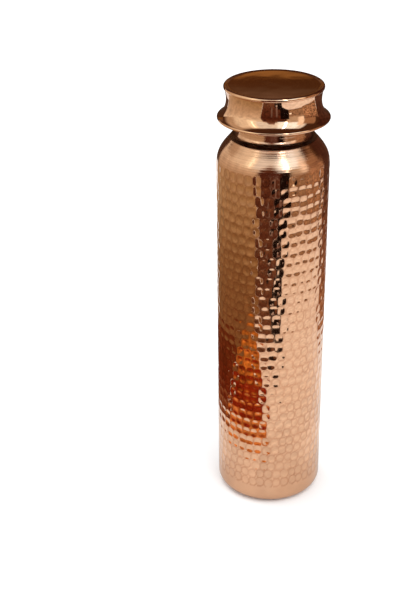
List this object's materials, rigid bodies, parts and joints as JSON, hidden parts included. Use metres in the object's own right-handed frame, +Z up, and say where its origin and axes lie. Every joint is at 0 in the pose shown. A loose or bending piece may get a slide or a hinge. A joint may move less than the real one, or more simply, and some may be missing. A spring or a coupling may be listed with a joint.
{
  "type": "copper water bottle",
  "caption": "Tall cylindrical hammered copper water bottle with a rounded shoulder, plain collar and screw-on waisted lid.",
  "frame": {"origin": "centre of the foot ring, on the surface that the bottle stands on", "axes": "+Z up along the bottle's axis, from the foot to the lid; the bottle is round, so +X and +Y only fix where the thread starts"},
  "size_m": [0.072, 0.072, 0.2931],
  "materials": {
    "copper_hammered": "hammered, polished and lacquered copper",
    "copper_polished": "mirror-polished, lacquered copper",
    "copper_bare": "bare, slightly dull copper",
    "silicone": "satin white silicone"
  },
  "bodies": {
    "bottle": {"bottle_body": "copper_hammered", "base_plate": "copper_bare", "neck_ring": "copper_polished"},
    "seal": {"seal_ring": "silicone"},
    "cap": {"cap_shell": "copper_polished", "cap_top_disc": "copper_polished", "cap_base_ring": "copper_bare", "cap_sleeve": "copper_bare", "cap_liner": "copper_bare"}
  },
  "joints": [
    {"name": "cap_lift", "type": "slide", "parent": "bottle", "child": "seal", "axis": [0, 0, 1], "range_m": [0, 0.0201]},
    {"name": "cap_turn", "type": "hinge", "parent": "seal", "child": "cap", "pos_m": [0, 0, 0.2715], "axis": [0, 0, 1], "range_deg": [0, 1800]}
  ],
  "couplings": [
    {"joint": "cap_lift", "follows": "cap_turn", "m_per_rad": 0.00063662}
  ]
}
